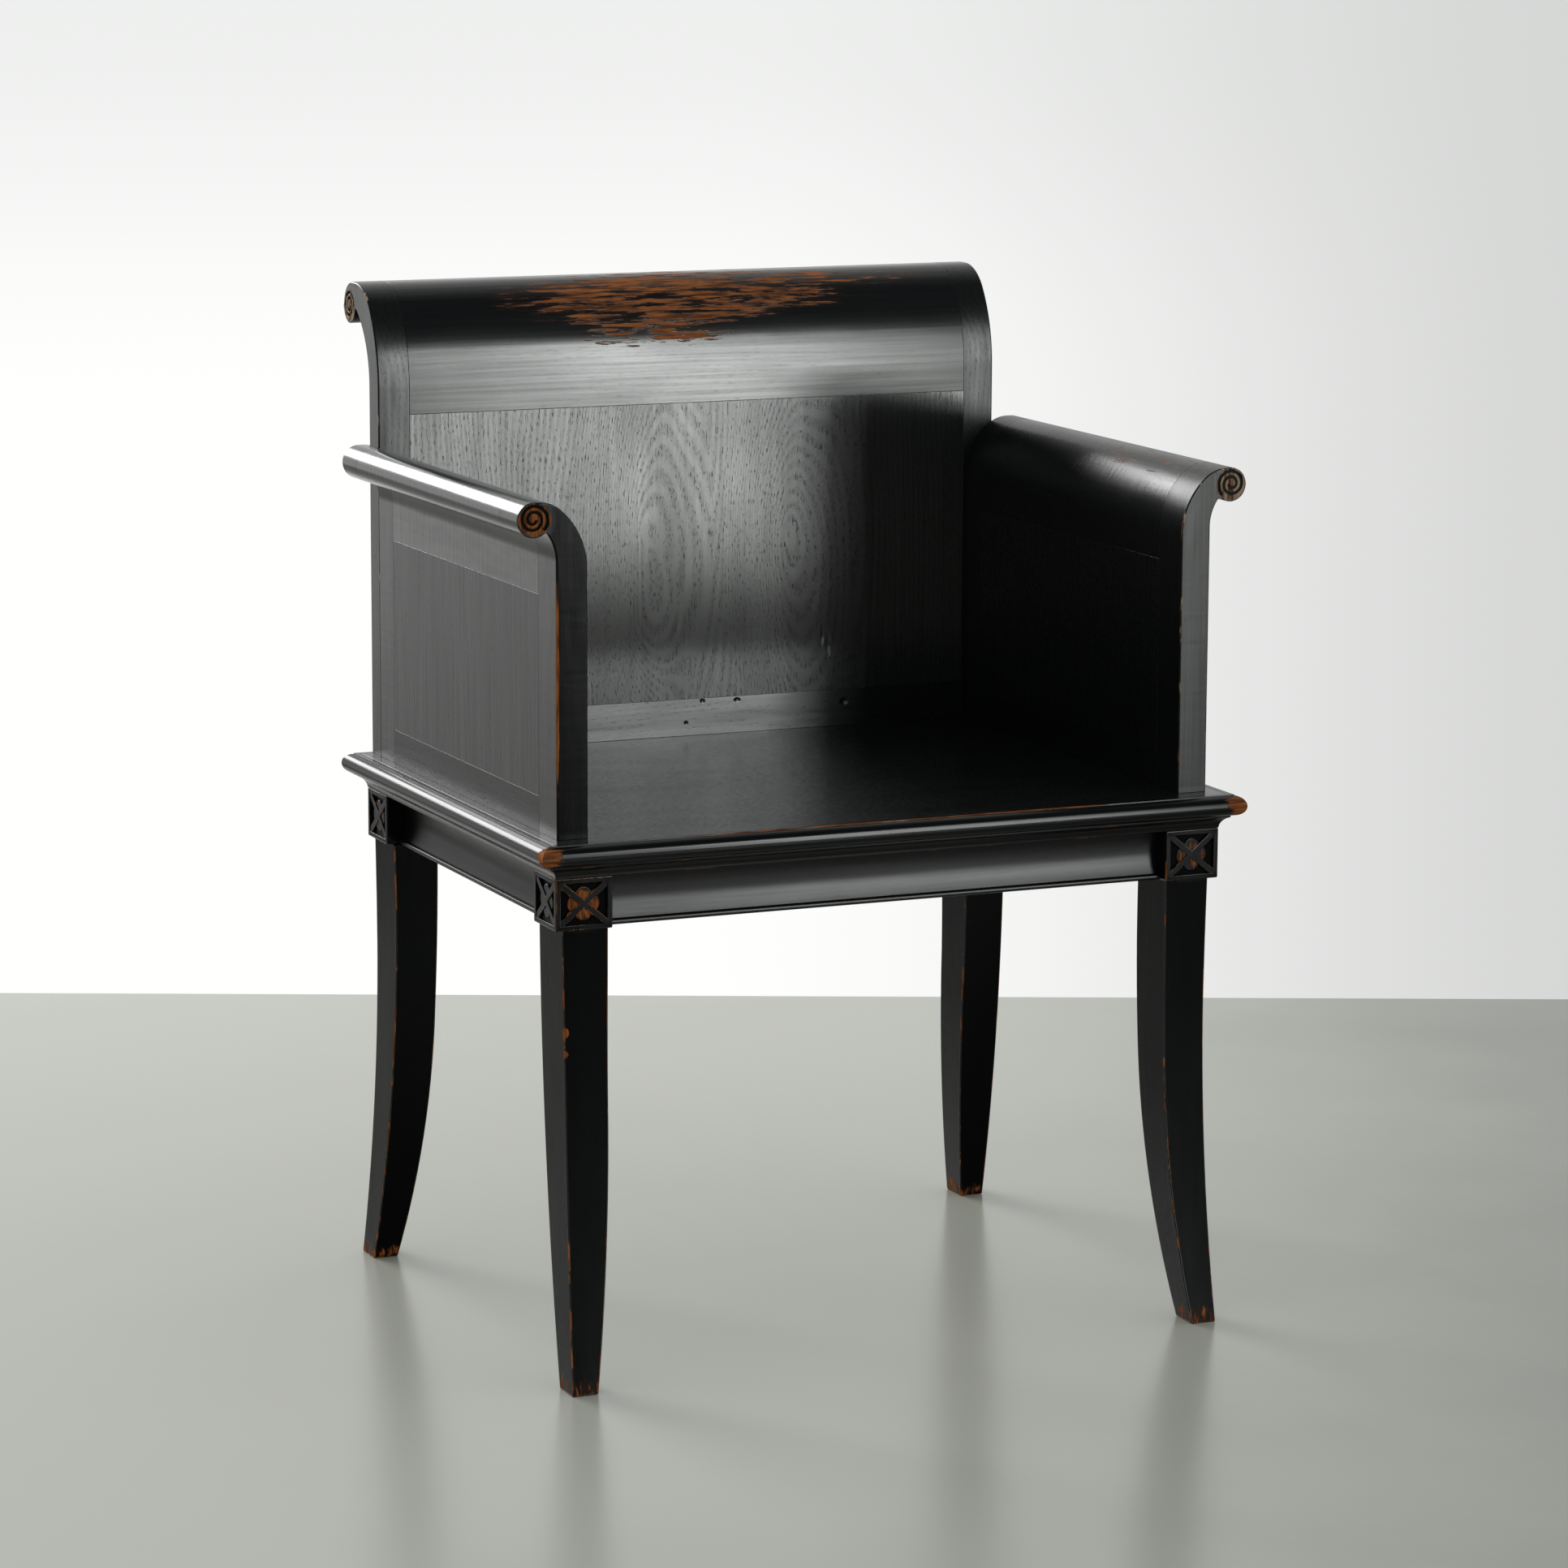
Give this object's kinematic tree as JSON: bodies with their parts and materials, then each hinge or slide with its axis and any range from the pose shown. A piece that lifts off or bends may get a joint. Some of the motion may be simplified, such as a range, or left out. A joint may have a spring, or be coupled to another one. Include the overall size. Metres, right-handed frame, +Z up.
{
  "type": "armchair",
  "caption": "Lacquered wooden armchair with a scrolled panel back, rolled panel arms, a moulded board seat, carved leg heads and swept tapering legs.",
  "frame": {"origin": "middle of the overall footprint, on the floor", "axes": "+Z up, front of the chair towards -Y, +X to the right when looking at the front"},
  "size_m": [0.661, 0.5516, 0.8735],
  "materials": {
    "black_lacquer": "semi-gloss black lacquer over open grain",
    "bare_wood": "unfinished hardwood"
  },
  "bodies": {
    "root": {"arm_left_bottom_rail": "black_lacquer", "arm_left_front_stile": "black_lacquer", "arm_left_panel": "black_lacquer", "arm_left_rear_stile": "black_lacquer", "arm_left_scroll_rail": "black_lacquer", "arm_pins": "bare_wood", "arm_right_bottom_rail": "black_lacquer", "arm_right_front_stile": "black_lacquer", "arm_right_panel": "black_lacquer", "arm_right_rear_stile": "black_lacquer", "arm_right_scroll_rail": "black_lacquer", "back_bottom_rail": "black_lacquer", "back_left_stile": "black_lacquer", "back_panel": "black_lacquer", "back_right_stile": "black_lacquer", "back_scroll_rail": "black_lacquer", "leg_front_left": "black_lacquer", "leg_front_right": "black_lacquer", "leg_rear_left": "black_lacquer", "leg_rear_right": "black_lacquer", "rail_pegs": "bare_wood", "roll_pins": "bare_wood", "seat_batten_left": "bare_wood", "seat_batten_right": "bare_wood", "seat_board": "black_lacquer", "seat_frame_front": "black_lacquer", "seat_frame_left": "black_lacquer", "seat_frame_rear": "black_lacquer", "seat_frame_right": "black_lacquer", "seat_rail_front": "black_lacquer", "seat_rail_left": "black_lacquer", "seat_rail_rear": "black_lacquer", "seat_rail_right": "black_lacquer"}
  },
  "joints": []
}
